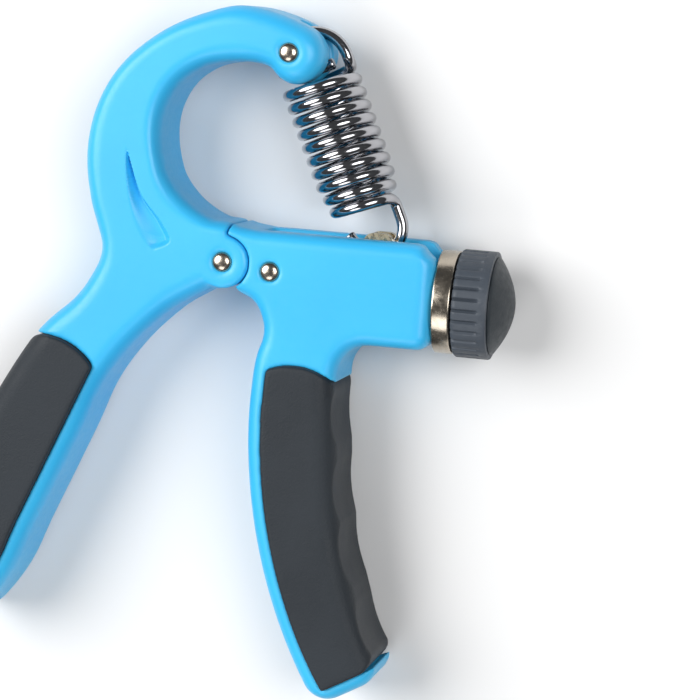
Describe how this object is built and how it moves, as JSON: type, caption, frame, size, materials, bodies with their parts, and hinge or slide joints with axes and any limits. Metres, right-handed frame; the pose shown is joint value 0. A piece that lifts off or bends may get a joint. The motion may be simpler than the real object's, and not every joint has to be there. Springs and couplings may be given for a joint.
{
  "type": "hand grip strengthener",
  "caption": "Hand grip strengthener: two pivoted grips held apart by a coil spring whose pull is set with a screw and knob.",
  "frame": {"origin": "middle of the base: the centre of the outline in X and Y, on the plane that the grips lie on", "axes": "+Z through the thickness, +X along the adjusting screw towards the knob, +Y from the grips towards the spring"},
  "size_m": [0.1276, 0.1474, 0.0236],
  "materials": {
    "blue_plastic": "semi-gloss sky blue",
    "grip_rubber": "matt blue-grey soft grip",
    "knob_grey": "satin grey plastic",
    "nickel": "warm nickel plate",
    "spring_steel": "bright zinc-plated wire",
    "zinc": "zinc plate",
    "brass": "turned"
  },
  "bodies": {
    "right_handle": {"right_handle_frame": "blue_plastic", "right_grip_cover": "grip_rubber", "end_collar": "nickel", "screw_bearing": "zinc", "bearing_pin": "nickel"},
    "left_handle": {"left_handle_frame": "blue_plastic", "left_grip_cover": "grip_rubber", "pivot_pin": "nickel"},
    "adjuster": {"lead_screw": "zinc", "retaining_clip": "zinc", "thrust_washer": "zinc", "knob_body": "knob_grey", "knob_insert": "brass", "knob_end_cap": "knob_grey", "knob_fixing_screw": "zinc"},
    "slider": {"slider_nut": "zinc", "hook_pin": "zinc"},
    "spring_anchor": {"upper_hook_pin": "nickel"},
    "spring": {"main_spring": "spring_steel"}
  },
  "joints": [
    {"name": "handle_pivot", "type": "hinge", "parent": "right_handle", "child": "left_handle", "pos_m": [0.00148, 0.01898, 0.0118], "axis": [0, 0, 1], "range_deg": [0, 30], "stiffness_Nm_per_rad": 8, "springref_deg": -20.05},
    {"name": "knob_turn", "type": "hinge", "parent": "right_handle", "child": "adjuster", "pos_m": [0.03148, 0.01398, 0.0118], "axis": [-1, 0, 0], "range_deg": [-3240, 1440]},
    {"name": "slider_travel", "type": "slide", "parent": "right_handle", "child": "slider", "axis": [1, 0, 0], "range_m": [-0.009, 0.004]},
    {"name": "spring_lean", "type": "hinge", "parent": "left_handle", "child": "spring_anchor", "pos_m": [0.01288, 0.06448, 0.0118], "axis": [0, 0, 1], "range_deg": [-10.8, 4.8]},
    {"name": "spring_stretch", "type": "slide", "parent": "spring_anchor", "child": "spring", "axis": [-0.0505, -0.9987, 0], "range_m": [0, 0.0175], "deforming": ["main_spring"]}
  ],
  "couplings": [
    {"joint": "knob_turn", "follows": "slider_travel", "rad_per_m": 6283.2},
    {"joint": "spring_lean", "follows": "slider_travel", "rad_per_m": 20.77},
    {"joint": "spring_stretch", "follows": "handle_pivot", "m_per_rad": 0.03254}
  ]
}
